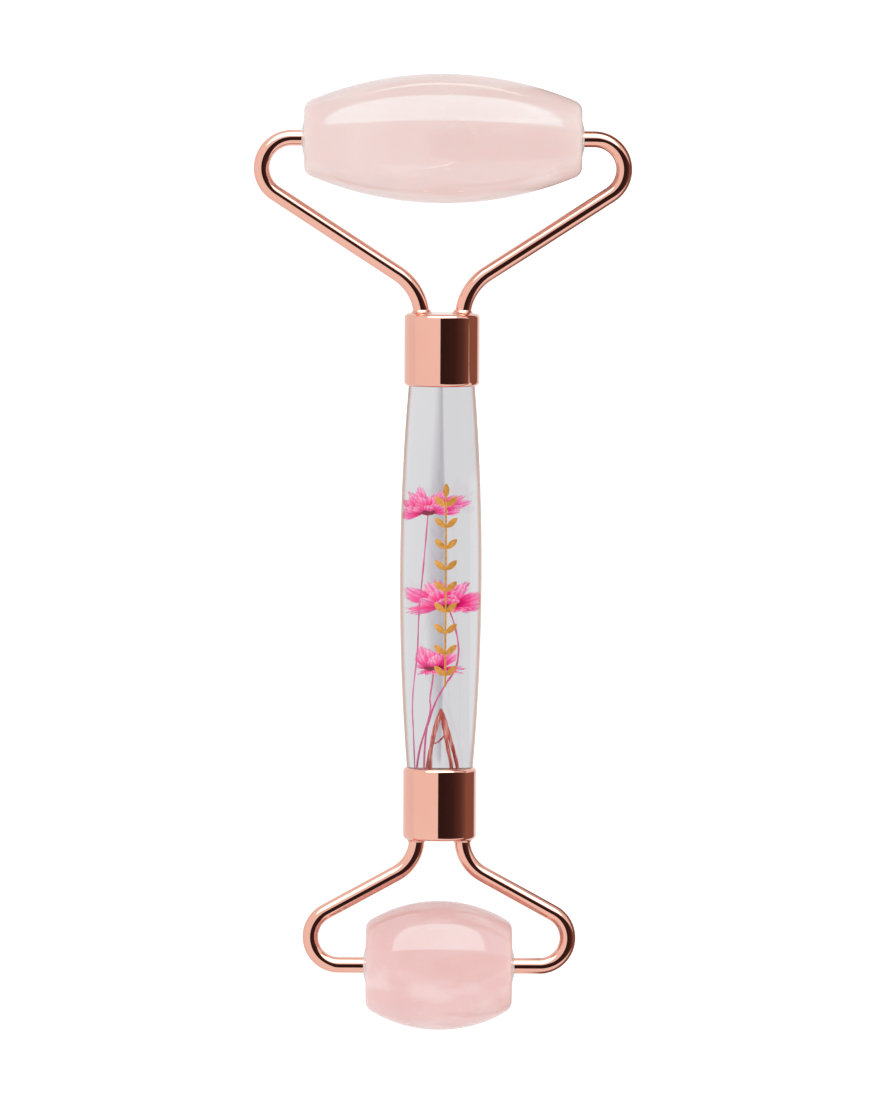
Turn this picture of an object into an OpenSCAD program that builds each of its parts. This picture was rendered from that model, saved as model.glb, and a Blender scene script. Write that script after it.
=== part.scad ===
// Double-ended facial massage roller, laid on its side so that both stones rest on z = 0.
// X runs along the stones' axes, Y along the handle towards the large stone. Millimetres.

/* [Overall] */
// Length from the large stone's far side to the small stone's far side
overall_len = 145; // [143:0.5:147]
// Diameter of both stones at their crowns
stone_d = 19.6; // [19:0.1:20.4]

/* [Large stone] */
// Length of the large stone
large_stone_len = 42; // [41:0.5:43]
// Radius of the crowned profile of the large stone
large_crown_r = 51.5; // [48:0.5:58]

/* [Small stone] */
// Length of the small stone
small_stone_len = 22.2; // [21:0.2:23]
// Radius of the crowned profile of the small stone
small_crown_r = 20; // [19:0.5:22]

/* [Stone ends] */
// Radius that softens the edge between the crown and each end face
stone_corner_r = 1.6; // [1.2:0.1:1.8]
// Diameter of the hole drilled right through each stone
stone_bore_d = 3; // [2.8:0.1:3.2]

/* [Bushes] */
// Diameter of the domed flange that shows on each end face
bush_flange_d = 5.2; // [5:0.1:5.6]
// Thickness of the flange
bush_flange_t = 0.5; // [0.4:0.05:0.6]
// Outer diameter of the sleeve inside the stone
bush_sleeve_d = 3.8; // [3.6:0.1:4]
// Length of the sleeve inside the stone
bush_sleeve_len = 8; // [7:0.5:9]
// Radial gap between the wire and the bush that turns on it
running_gap = 0.06; // [0.03:0.01:0.09]

/* [Yoke wires] */
// Diameter of the wire of both yokes
wire_d = 2.4; // [2.3:0.05:2.5]
// Length of wire inside each end of a stone
wire_reach = 7; // [6:0.5:7.5]
// Width of the large yoke, between the wire's centres at its widest
large_yoke_w = 54.8; // [54:0.2:56]
// Angle between the large yoke's arms and the stone's axis
large_arm_angle = 33; // [32:0.5:34]
// Width of the small yoke, between the wire's centres at its widest
small_yoke_w = 39; // [38.4:0.2:40]
// Angle between the small yoke's arms and the stone's axis
small_arm_angle = 28.8; // [28.4:0.2:29.2]
// Bend radius at the large yoke's outer corners, at the wire's centre
large_corner_r = 4.55; // [4.4:0.05:4.7]
// Bend radius at the small yoke's outer corners, at the wire's centre
small_corner_r = 4.3; // [4.2:0.05:4.4]

/* [Ferrules] */
// Outer diameter of the upper ferrule
upper_ferrule_d = 11.4; // [11.2:0.1:11.8]
// Length of the upper ferrule
upper_ferrule_len = 11; // [10.9:0.1:11.4]
// Outer diameter of the lower ferrule
lower_ferrule_d = 11.1; // [11:0.1:11.6]
// Length of the lower ferrule
lower_ferrule_len = 10.9; // [10.7:0.1:11.3]
// Radius of the ferrules' outer edges
ferrule_edge_r = 0.7; // [0.5:0.1:0.7]

/* [Handle bar] */
// Diameter of the clear bar where it meets the ferrules
bar_end_d = 10; // [9.9:0.1:10.2]
// Diameter of the clear bar at its waist, its widest place
bar_mid_d = 12.4; // [12:0.1:12.8]
// Distance from the large stone's axis to the ferrule below it
large_drop = 26.4; // [26.2:0.1:26.8]
// Distance from the small stone's axis to the ferrule above it
small_drop = 19.3; // [19.2:0.1:19.5]

/* [Hidden] */
$fn = 72;
long_arc_fn = 360;

axis_z = stone_d / 2;
large_axis_y = overall_len / 2 - axis_z;
small_axis_y = -large_axis_y;
upper_face_y = large_axis_y - large_drop;
upper_lip_y = upper_face_y - upper_ferrule_len;
lower_face_y = small_axis_y + small_drop;
lower_lip_y = lower_face_y + lower_ferrule_len;

wire_r = wire_d / 2;
end_wall = 1.2;
bore_r = 4.9;
tenon_len = 5;
bond_gap = 0.1;
tenon_r = bore_r - bond_gap;
large_leg_x = 3.1;
small_leg_x = 3.45;
large_neck_r = 8;
small_neck_r = 6;
collar_h = 0.5;
draw_down = 0.006;
lap = 0.12;
slice = 0.01;

// ---------- shared shapes ----------

// Turns a shape made along Z so that it runs along Y
module along_y() rotate([-90, 0, 0]) children();

// Turns a shape made along Z so that it runs along X
module along_x() rotate([0, 90, 0]) children();

// Raises the roller so that both stones rest on z = 0
module laid() translate([0, 0, axis_z]) children();

// Straight length of round wire between two points of the XY plane
module wire_run(from, to, r) {
    d = to - from;
    translate([from.x, from.y, 0])
        rotate([0, 0, atan2(d.y, d.x)])
            along_x() cylinder(r = r, h = norm(d));
}

// Bend of round wire about a centre in the XY plane, from one angle through a turn
module wire_bend(centre, bend_r, start, turn) {
    translate([centre.x, centre.y, 0])
        rotate([0, 0, start])
            rotate_extrude(angle = turn)
                translate([bend_r, 0]) circle(r = wire_r);
}

// ---------- stones and bushes ----------

// Half-profile of a crowned barrel, radius along x and half-length along y, edges rounded
module barrel_quarter(half_len, crown_r, corner_r) {
    crown_x = stone_d / 2 - crown_r;
    corner_y = half_len - corner_r;
    corner_x = crown_x + sqrt(pow(crown_r - corner_r, 2) - pow(corner_y, 2));
    touch_y = corner_y * crown_r / (crown_r - corner_r);
    intersection() {
        translate([crown_x, 0]) circle(r = crown_r, $fn = long_arc_fn);
        square([stone_d, touch_y]);
    }
    translate([corner_x, corner_y]) circle(r = corner_r);
    square([corner_x, half_len]);
}

module stone(len, crown_r) {
    half = len / 2;
    along_x() difference() {
        rotate_extrude() {
            barrel_quarter(half, crown_r, stone_corner_r);
            mirror([0, 1]) barrel_quarter(half, crown_r, stone_corner_r);
        }
        translate([0, 0, -half - 1]) cylinder(d = stone_bore_d, h = len + 2);
        for (end = [-1, 1])
            translate([0, 0, end * (half - bush_sleeve_len / 2 + slice)])
                cylinder(d = bush_sleeve_d, h = bush_sleeve_len + 2 * slice, center = true);
    }
}

// Flanged sleeve at the +X end of a stone of this length
module bush(len) {
    face = len / 2;
    dome_r = (pow(bush_flange_d / 2, 2) + pow(bush_flange_t, 2)) / (2 * bush_flange_t);
    along_x() difference() {
        union() {
            translate([0, 0, face - bush_sleeve_len])
                cylinder(d = bush_sleeve_d, h = bush_sleeve_len + bush_flange_t / 4);
            translate([0, 0, face]) cylinder(d = bush_flange_d, h = bush_flange_t / 2);
            intersection() {
                translate([0, 0, face + bush_flange_t - dome_r]) sphere(r = dome_r);
                translate([0, 0, face + bush_flange_t / 4])
                    cylinder(d = bush_flange_d - 0.6, h = bush_flange_t);
            }
        }
        translate([0, 0, face - bush_sleeve_len - 1])
            cylinder(r = wire_r + running_gap, h = bush_sleeve_len + 3);
    }
}

// ---------- yokes ----------

// One yoke in its own frame: the stone's axis is the X axis and the ferrule lies towards -Y.
// The wire runs from inside the stone round the corner, down the arm, through the ferrule's
// end wall, round a U inside the ferrule and back up the other side. The straights are a few
// microns thinner than the bends and run a little way into them, so the wire is one solid.
module yoke_wire(stone_len, width, corner_r, arm_angle, leg_x, neck_r) {
    r = wire_r - draw_down;
    corner_x = width / 2 - corner_r;
    meet_x = corner_x + corner_r / tan(arm_angle / 2);
    neck_y = -(meet_x - leg_x) * tan(arm_angle);
    neck_reach = neck_r * tan((90 - arm_angle) / 2);
    arm = [cos(arm_angle), sin(arm_angle)];
    arm_top = [corner_x, -corner_r] + corner_r * [arm.y, -arm.x];
    arm_end = [leg_x, neck_y] + neck_reach * arm;
    leg_top = [leg_x, neck_y - neck_reach];
    u_y = leg_top.y - 0.2;
    for (side = [0, 1]) mirror([side, 0, 0]) {
        wire_run([stone_len / 2 - wire_reach, 0], [corner_x + lap, 0], r);
        wire_bend([corner_x, -corner_r], corner_r, 90, arm_angle - 180);
        wire_run(arm_top + lap * arm, arm_end - lap * arm, r);
        wire_bend(leg_top + [neck_r, 0], neck_r, 180, arm_angle - 90);
        wire_run(leg_top + [0, lap], [leg_x, u_y - lap], r);
    }
    wire_bend([0, u_y], leg_x, 180, 180);
}

module upper_yoke_shape()
    translate([0, large_axis_y, 0])
        yoke_wire(large_stone_len, large_yoke_w, large_corner_r, large_arm_angle,
            large_leg_x, large_neck_r);

module lower_yoke_shape()
    translate([0, small_axis_y, 0])
        rotate([0, 0, 180])
            yoke_wire(small_stone_len, small_yoke_w, small_corner_r, small_arm_angle,
                small_leg_x, small_neck_r);

// ---------- ferrules and what fills them ----------

// Cup along +Z with its closed end at z = 0
module ferrule_cup(d, len) {
    e = min(ferrule_edge_r, d / 2 - bore_r - 0.05);
    r = d / 2;
    difference() {
        rotate_extrude() {
            square([r - e, len]);
            translate([0, e]) square([r, len - 2 * e]);
            for (y = [e, len - e]) translate([r - e, y]) circle(r = e);
        }
        translate([0, 0, end_wall]) cylinder(r = bore_r, h = len);
    }
}

// Cured resin in the cup: a plug round the wire's U and a thin bond round the bar's tenon
module potting_fill(len) {
    difference() {
        translate([0, 0, end_wall]) cylinder(r = bore_r, h = len - end_wall);
        translate([0, 0, len - tenon_len]) cylinder(r = tenon_r, h = tenon_len + 1);
    }
}

// Braze bead on each leg where it enters the cup's end
module collar_beads(leg_x)
    for (side = [-1, 1])
        translate([side * leg_x, 0, -collar_h])
            cylinder(r1 = wire_r + 0.35, r2 = wire_r + 0.6, h = collar_h);

module at_upper_ferrule() translate([0, upper_face_y, 0]) rotate([90, 0, 0]) children();
module at_lower_ferrule() translate([0, lower_face_y, 0]) along_y() children();

// ---------- handle bar ----------

bar_len = upper_lip_y - lower_lip_y;

// Barrelled part of the bar, or a thicker skin round it
module bar_barrel(skin = 0) {
    rise = (bar_mid_d - bar_end_d) / 2;
    swell_r = (pow(bar_len / 2, 2) + pow(rise, 2)) / (2 * rise);
    translate([0, (upper_lip_y + lower_lip_y) / 2, 0]) along_y() rotate_extrude()
        intersection() {
            translate([bar_mid_d / 2 - swell_r, 0])
                circle(r = swell_r + skin, $fn = 4 * long_arc_fn);
            translate([0, -bar_len / 2]) square([bar_mid_d, bar_len]);
        }
}

// Clear bar with a barrelled profile and a tenon at each end
module bar_solid() {
    bar_barrel();
    translate([0, lower_lip_y - tenon_len, 0])
        along_y() cylinder(r = tenon_r, h = bar_len + 2 * tenon_len);
}

// ---------- gold leaf print on the bar ----------
// A sprig: a straight stalk with one leaf at its tip and leaning pairs down its length
foil_t = 0.04;
print_x = 0.75;
print_top_y = 8.9;
print_step = 3.2;
print_pairs = 9;
print_stalk_w = 0.3;
print_leaf_len = 2.2;
print_leaf_w = 0.95;
print_lean = 48;
print_gap = 0.1;

// Pointed leaf along +X, where two arcs cross, with its foot at the origin
module print_leaf(len, width) {
    r = (pow(len, 2) + pow(width, 2)) / (4 * width);
    intersection() {
        translate([len / 2, r - width / 2]) circle(r = r);
        translate([len / 2, width / 2 - r]) circle(r = r);
    }
}

module sprig_outline() {
    stalk_len = print_step * print_pairs;
    translate([print_x - print_stalk_w / 2, print_top_y - stalk_len])
        square([print_stalk_w, stalk_len]);
    translate([print_x, print_top_y - 2 * print_gap])
        rotate([0, 0, 90]) print_leaf(print_leaf_len, print_leaf_w);
    for (i = [0 : print_pairs - 1]) translate([print_x, print_top_y - (i + 0.5) * print_step])
        for (side = [-1, 1])
            rotate([0, 0, 90 + side * print_lean]) translate([print_gap, 0])
                print_leaf(print_leaf_len, print_leaf_w);
}

// ---------- flowers cast in the bar ----------
// Each flower is [head position, head tilt, petal rings], and each ring is
// [count, first angle, rise above the disc, length, width].
petal_t = 0.22;
disc_r = 1;
disc_h = 0.7;
stem_r = 0.22;
top_flower = [[-1.3, 5.6, 0.9], 4, [[9, 10, 22, 3.5, 1.7], [7, 30, 58, 3.6, 1.3]]];
middle_flower = [[0.8, -8.2, -0.2], -2, [[9, 0, 12, 4.1, 2.3], [7, 20, 44, 4, 1.8]]];
low_flower = [[-0.5, -17.6, 0.3], 3, [[7, 15, 28, 1.9, 1.5], [6, 40, 66, 4, 1.6]]];
bar_foot_y = lower_lip_y - tenon_len;

// Stems as points of the centre line, from the head to the bar's foot
top_stem_line = [[-1.4, 5.2, 0.9], [-2.3, -8, 2], [-3.1, -22, 2.3], [-3.5, bar_foot_y, 2.3]];
middle_stem_line = [[0.8, -8.6, -0.2], [1.6, -14.6, -1.2], [0.6, -20, -1.2],
    [-1.6, -28, -1.1], [-2.7, bar_foot_y, -1.1]];
low_stem_line = [[-0.55, -18, 0.3], [-1.1, -25, 0.4], [-1.9, bar_foot_y, 0.6]];
fold_tip = [0, -23.7, 1.4];
fold_foot_x = [-1.2, 1.5];
stalk_r = 0.3;

// Outline of a petal along x: narrow foot, widest at two thirds, blunt tip
function petal_edge(len, width) =
    [for (t = [0 : 1 / 6 : 1]) [t * len, width / 2 * (0.3 + 0.7 * sin(150 * pow(t, 1.15)))]];

module petal(len, width) {
    edge = petal_edge(len, width);
    last = len(edge) - 1;
    linear_extrude(petal_t)
        polygon(concat(edge, [for (i = [last : -1 : 0]) [edge[i].x, -edge[i].y]]));
}

module at_head(flower) translate(flower[0]) rotate([0, 0, flower[1]]) along_y() children();

module petal_rings(flower)
    at_head(flower) for (ring = flower[2]) for (i = [0 : ring[0] - 1])
        rotate([0, 0, ring[1] + i * 360 / ring[0]])
            translate([disc_r * 0.8, 0, disc_h / 2])
                rotate([0, -ring[2], 0]) petal(ring[3], ring[4]);

module calyx_disc(flower)
    at_head(flower) cylinder(r1 = disc_r * 0.7, r2 = disc_r, h = disc_h);

// Thin rod between two points in space
module rod(from, to, r) {
    d = to - from;
    translate(from)
        rotate([0, acos(d.z / norm(d)), atan2(d.y, d.x)]) cylinder(r = r, h = norm(d));
}

// A stem thickens a little at every joint on its way down, and each length starts
// inside the one below
module stem_rods(line)
    for (i = [1 : len(line) - 1]) {
        step = line[i] - line[i - 1];
        rod(line[i - 1] - (i > 1 ? 0.3 : 0) * step / norm(step), line[i], stem_r + 0.02 * i);
    }

module stalk_rods()
    for (side = [0, 1])
        rod([fold_tip.x + 0.25 - 0.5 * side, fold_tip.y + 0.3 * side, fold_tip.z],
            [fold_foot_x[1 - side], bar_foot_y, fold_tip.z], stalk_r - 0.02 * side);

module all_stems() {
    stem_rods(top_stem_line);
    stem_rods(middle_stem_line);
    stem_rods(low_stem_line);
    stalk_rods();
}

module bloom(flower)
    difference() {
        petal_rings(flower);
        calyx_disc(flower);
        all_stems();
    }

module calyx(flower) difference() {
    calyx_disc(flower);
    all_stems();
}

// ---------- nodes ----------

module handle_bar() color([0.86, 0.87, 0.89, 0.5]) laid() difference() {
    bar_solid();
    for (flower = [top_flower, middle_flower, low_flower]) {
        petal_rings(flower);
        calyx_disc(flower);
    }
    all_stems();
}

module upper_ferrule() color("rosybrown") laid() difference() {
    at_upper_ferrule() ferrule_cup(upper_ferrule_d, upper_ferrule_len);
    upper_yoke_shape();
}

module lower_ferrule() color("rosybrown") laid() difference() {
    at_lower_ferrule() ferrule_cup(lower_ferrule_d, lower_ferrule_len);
    lower_yoke_shape();
}

module upper_yoke() color("darksalmon") laid() upper_yoke_shape();
module lower_yoke() color("darksalmon") laid() lower_yoke_shape();

module upper_potting() color("wheat") laid() difference() {
    at_upper_ferrule() potting_fill(upper_ferrule_len);
    upper_yoke_shape();
}

module lower_potting() color("wheat") laid() difference() {
    at_lower_ferrule() potting_fill(lower_ferrule_len);
    lower_yoke_shape();
}

module upper_leg_collars() color("salmon") laid() difference() {
    at_upper_ferrule() collar_beads(large_leg_x);
    upper_yoke_shape();
}

module lower_leg_collars() color("salmon") laid() difference() {
    at_lower_ferrule() collar_beads(small_leg_x);
    lower_yoke_shape();
}

module at_large_axis() laid() translate([0, large_axis_y, 0]) children();
module at_small_axis() laid() translate([0, small_axis_y, 0]) children();

module large_stone() color("mistyrose") at_large_axis() stone(large_stone_len, large_crown_r);
module large_bush_right() color("whitesmoke") at_large_axis() bush(large_stone_len);
module large_bush_left() color("whitesmoke")
    at_large_axis() mirror([1, 0, 0]) bush(large_stone_len);
module small_stone() color("mistyrose") at_small_axis() stone(small_stone_len, small_crown_r);
module small_bush_right() color("whitesmoke") at_small_axis() bush(small_stone_len);
module small_bush_left() color("whitesmoke")
    at_small_axis() mirror([1, 0, 0]) bush(small_stone_len);

module gold_print() color("goldenrod") laid() intersection() {
    linear_extrude(bar_mid_d) sprig_outline();
    difference() {
        bar_barrel(foil_t);
        bar_barrel();
    }
}

module top_petals() color("hotpink") laid() bloom(top_flower);
module top_calyx() color("mediumvioletred") laid() calyx(top_flower);
module top_stem() color("palevioletred") laid() stem_rods(top_stem_line);
module middle_petals() color("hotpink") laid() bloom(middle_flower);
module middle_calyx() color("mediumvioletred") laid() calyx(middle_flower);
module middle_stem() color("palevioletred") laid() stem_rods(middle_stem_line);
module low_petals() color("hotpink") laid() bloom(low_flower);
module low_calyx() color("mediumvioletred") laid() calyx(low_flower);
module low_stem() color("palevioletred") laid() stem_rods(low_stem_line);
module folded_stalk() color("sienna") laid() stalk_rods();

handle_bar();
gold_print();
upper_ferrule();
lower_ferrule();
upper_yoke();
lower_yoke();
upper_potting();
lower_potting();
upper_leg_collars();
lower_leg_collars();
large_stone();
large_bush_left();
large_bush_right();
small_stone();
small_bush_left();
small_bush_right();
top_petals();
top_calyx();
top_stem();
middle_petals();
middle_calyx();
middle_stem();
low_petals();
low_calyx();
low_stem();
folded_stalk();
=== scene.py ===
import math
import random

import bpy
import bmesh
from mathutils import Matrix, Vector


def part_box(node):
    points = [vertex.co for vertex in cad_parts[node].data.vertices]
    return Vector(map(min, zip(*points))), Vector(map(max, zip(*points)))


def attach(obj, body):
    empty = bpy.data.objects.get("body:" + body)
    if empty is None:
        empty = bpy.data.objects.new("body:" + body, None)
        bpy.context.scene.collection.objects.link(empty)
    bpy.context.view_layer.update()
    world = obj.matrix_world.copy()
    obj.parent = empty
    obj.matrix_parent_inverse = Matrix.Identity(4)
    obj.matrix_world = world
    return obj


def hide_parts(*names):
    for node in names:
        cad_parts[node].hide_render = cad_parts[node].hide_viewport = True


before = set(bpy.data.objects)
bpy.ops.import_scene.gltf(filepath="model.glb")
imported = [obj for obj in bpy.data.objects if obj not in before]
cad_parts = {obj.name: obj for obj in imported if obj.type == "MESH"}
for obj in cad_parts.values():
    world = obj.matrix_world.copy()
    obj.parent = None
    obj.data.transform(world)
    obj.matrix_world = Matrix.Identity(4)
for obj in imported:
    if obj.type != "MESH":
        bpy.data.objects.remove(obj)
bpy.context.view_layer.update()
MM = 0.001


# ---------- places in millimetres, some read from the imported frame and some given ---

def box_mm(node):
    low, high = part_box(node)
    return low / MM, high / MM


def centre_and_size(node):
    low, high = box_mm(node)
    return (low + high) / 2, high - low


large_c = centre_and_size("large_stone")[0]
small_c = centre_and_size("small_stone")[0]
up_fer_lo, up_fer_hi = box_mm("upper_ferrule")
lo_fer_lo, lo_fer_hi = box_mm("lower_ferrule")
bar_lo, bar_hi = box_mm("handle_bar")

STONE_R = 9.8
AXIS_Z = STONE_R  # the roller lies on its two stones
LARGE_Y = round(large_c.y, 1)
SMALL_Y = round(small_c.y, 1)
LARGE_LENGTH, SMALL_LENGTH = 42.0, 22.2
UPPER_LEG_X, LOWER_LEG_X = 3.1, 3.45
UP_LIP = up_fer_lo.y
UP_FACE = up_fer_hi.y
LOW_LIP = lo_fer_hi.y
LOW_FACE = lo_fer_lo.y
FERRULE_BORE = 4.9
WIRE_R = 1.2
SLEEVE_R = 1.9
SLEEVE_LENGTH = 8.0
TENON_R = 4.8
BAR_END_R = 5.0
BAR_MID_R = 6.2
BAR_MID_Y = (UP_LIP + LOW_LIP) / 2
BAR_HALF = (UP_LIP - LOW_LIP) / 2
BAR_FOOT_Y = bar_lo.y


def bar_radius(y):
    """Radius of the clear bar at a place along it."""
    rise = BAR_MID_R - BAR_END_R
    swell = (BAR_HALF ** 2 + rise ** 2) / (2 * rise)
    return BAR_MID_R - swell + math.sqrt(swell ** 2 - (y - BAR_MID_Y) ** 2)


# ---------- mesh helpers ----------

def build(name, verts, faces, material, body, replaces=(), smooth=True):
    """A mesh object from points in millimetres, riding on a body and standing for CAD nodes."""
    mesh = bpy.data.meshes.new(name)
    mesh.from_pydata([tuple(MM * c for c in v) for v in verts], [], faces)
    bm = bmesh.new()
    bm.from_mesh(mesh)
    bmesh.ops.remove_doubles(bm, verts=bm.verts, dist=1e-7)
    bmesh.ops.recalc_face_normals(bm, faces=bm.faces)
    for f in bm.faces:
        f.smooth = smooth
    bm.to_mesh(mesh)
    bm.free()
    obj = bpy.data.objects.new(name, mesh)
    bpy.context.scene.collection.objects.link(obj)
    obj.data.materials.append(material)
    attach(obj, body)
    if replaces:
        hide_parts(*replaces)
    return obj


def sharp_by_angle(obj, degrees=38):
    """Keeps real edges crisp on a smooth-shaded mesh."""
    obj.data.set_sharp_from_angle(angle=math.radians(degrees))
    return obj


def arc(centre, radius, start, end, steps):
    """Points of a circular arc, angles in degrees."""
    out = []
    for i in range(steps + 1):
        a = math.radians(start + (end - start) * i / steps)
        out.append((centre[0] + radius * math.cos(a), centre[1] + radius * math.sin(a)))
    return out


def lathe(profile, centre, axis, segments=128, closed=True, wobble=None):
    """Turns (along, radius) points about an axis through centre; axis is 'X' or 'Y'."""
    verts, faces = [], []
    rings = []
    for a, r in profile:
        ring = []
        if r < 1e-6:
            ring.append(len(verts))
            verts.append(turn_point(centre, axis, a, 0, 0))
        else:
            for i in range(segments):
                t = 2 * math.pi * i / segments
                rr = r * (1 + (wobble(a, t) if wobble else 0))
                ring.append(len(verts))
                verts.append(turn_point(centre, axis, a, rr, t))
        rings.append(ring)
    count = len(rings)
    for k in range(count if closed else count - 1):
        lo, hi = rings[k], rings[(k + 1) % count]
        if len(lo) == 1 and len(hi) == 1:
            continue
        for i in range(segments):
            j = (i + 1) % segments
            if len(lo) == 1:
                faces.append((lo[0], hi[j], hi[i]))
            elif len(hi) == 1:
                faces.append((lo[i], lo[j], hi[0]))
            else:
                faces.append((lo[i], lo[j], hi[j], hi[i]))
    return verts, faces


def turn_point(centre, axis, along, r, t):
    """The point at a place along an axis, a radius off it and an angle about it."""
    if axis == "X":
        return (centre[0] + along, centre[1] + r * math.cos(t), centre[2] + r * math.sin(t))
    return (centre[0] + r * math.cos(t), centre[1] + along, centre[2] + r * math.sin(t))


def tube(points, radii, sides=24, first_up=Vector((0, 0, 1))):
    """Closed tube along points with a radius at each, ends capped with fans."""
    pts = [Vector(p) for p in points]
    verts, faces, rings = [], [], []
    up = first_up.copy()
    last = len(pts) - 1
    for k, p in enumerate(pts):
        ahead = pts[min(k + 1, last)] - pts[max(k - 1, 0)]
        ahead.normalize()
        up = (up - ahead * up.dot(ahead)).normalized()
        side = ahead.cross(up)
        rings.append(list(range(len(verts), len(verts) + sides)))
        for i in range(sides):
            t = 2 * math.pi * i / sides
            verts.append(tuple(p + radii[k] * (math.cos(t) * side + math.sin(t) * up)))
    for k in range(last):
        for i in range(sides):
            j = (i + 1) % sides
            faces.append((rings[k][i], rings[k][j], rings[k + 1][j], rings[k + 1][i]))
    for k, flip in ((0, True), (last, False)):
        hub = len(verts)
        verts.append(tuple(pts[k]))
        for i in range(sides):
            j = (i + 1) % sides
            tri = (rings[k][i], rings[k][j], hub)
            faces.append(tri[::-1] if flip else tri)
    return verts, faces


def merge(*parts):
    """Joins shapes, each its points and faces, into one."""
    verts, faces = [], []
    for v, f in parts:
        base = len(verts)
        verts += list(v)
        faces += [tuple(base + i for i in face) for face in f]
    return verts, faces


# ---------- material helpers ----------

def material(name):
    mat = bpy.data.materials.new(name)
    mat.use_nodes = True
    nodes, links = mat.node_tree.nodes, mat.node_tree.links
    return mat, nodes, links, nodes["Principled BSDF"]


def noise(nodes, links, coords, scale, detail=4.0, roughness=0.55, distortion=0.0):
    n = nodes.new("ShaderNodeTexNoise")
    n.inputs["Scale"].default_value = scale
    n.inputs["Detail"].default_value = detail
    n.inputs["Roughness"].default_value = roughness
    n.inputs["Distortion"].default_value = distortion
    links.new(coords, n.inputs["Vector"])
    return n


def ramp(nodes, links, fac, stops):
    r = nodes.new("ShaderNodeValToRGB")
    els = r.color_ramp.elements
    els[0].position, els[0].color = stops[0][0], (*stops[0][1], 1)
    els[1].position, els[1].color = stops[-1][0], (*stops[-1][1], 1)
    for pos, col in stops[1:-1]:
        e = els.new(pos)
        e.color = (*col, 1)
    links.new(fac, r.inputs["Fac"])
    return r


def mapped(nodes, links, coords, scale=(1, 1, 1), rotation=(0, 0, 0), offset=(0, 0, 0)):
    m = nodes.new("ShaderNodeMapping")
    m.inputs["Scale"].default_value = scale
    m.inputs["Rotation"].default_value = rotation
    m.inputs["Location"].default_value = offset
    links.new(coords, m.inputs["Vector"])
    return m.outputs["Vector"]


def bump(nodes, links, height, strength, distance, bsdf):
    b = nodes.new("ShaderNodeBump")
    b.inputs["Strength"].default_value = strength
    b.inputs["Distance"].default_value = distance
    links.new(height, b.inputs["Height"])
    links.new(b.outputs["Normal"], bsdf.inputs["Normal"])
    return b


def mix_colour(nodes, links, fac, a, b, blend="MIX"):
    m = nodes.new("ShaderNodeMix")
    m.data_type = "RGBA"
    m.blend_type = blend
    for sock, val in ((m.inputs[0], fac), (m.inputs[6], a), (m.inputs[7], b)):
        if isinstance(val, bpy.types.NodeSocket):
            links.new(val, sock)
        elif isinstance(val, tuple):
            sock.default_value = (*val, 1)
        else:
            sock.default_value = val
    return m.outputs[2]


def map_range(nodes, links, value, lo, hi, to_lo=0.0, to_hi=1.0):
    m = nodes.new("ShaderNodeMapRange")
    m.interpolation_type = "SMOOTHSTEP"
    m.inputs["From Min"].default_value = lo
    m.inputs["From Max"].default_value = hi
    m.inputs["To Min"].default_value = to_lo
    m.inputs["To Max"].default_value = to_hi
    links.new(value, m.inputs["Value"])
    return m.outputs["Result"]


def math_node(nodes, links, op, a, b=None):
    m = nodes.new("ShaderNodeMath")
    m.operation = op
    for i, val in enumerate((a, b)):
        if val is None:
            continue
        if isinstance(val, bpy.types.NodeSocket):
            links.new(val, m.inputs[i])
        else:
            m.inputs[i].default_value = val
    return m.outputs[0]


def object_coords(nodes):
    return nodes.new("ShaderNodeTexCoord").outputs["Object"]


# ---------- materials ----------

def rose_gold(name, colour, low_rough, high_rough, seed):
    """Bright plating: faint colour drift, fine polishing haze and tiny handling marks."""
    mat, nodes, links, bsdf = material(name)
    co = mapped(nodes, links, object_coords(nodes), offset=(seed, seed * 0.7, seed * 0.3))
    drift = noise(nodes, links, co, 90, 3)
    deep = tuple(c * k for c, k in zip(colour, (0.97, 0.93, 0.9)))
    tone = ramp(nodes, links, drift.outputs["Fac"], [(0.3, deep), (0.7, colour)])
    links.new(tone.outputs["Color"], bsdf.inputs["Base Color"])
    bsdf.inputs["Metallic"].default_value = 1.0
    haze = noise(nodes, links, co, 420, 6, 0.65)
    rough = map_range(nodes, links, haze.outputs["Fac"], 0.35, 0.75, low_rough, high_rough)
    links.new(rough, bsdf.inputs["Roughness"])
    fine = noise(nodes, links, mapped(nodes, links, co, scale=(1, 0.12, 1)), 5200, 2)
    bump(nodes, links, fine.outputs["Fac"], 0.05, 0.000004, bsdf)
    return mat


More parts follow.
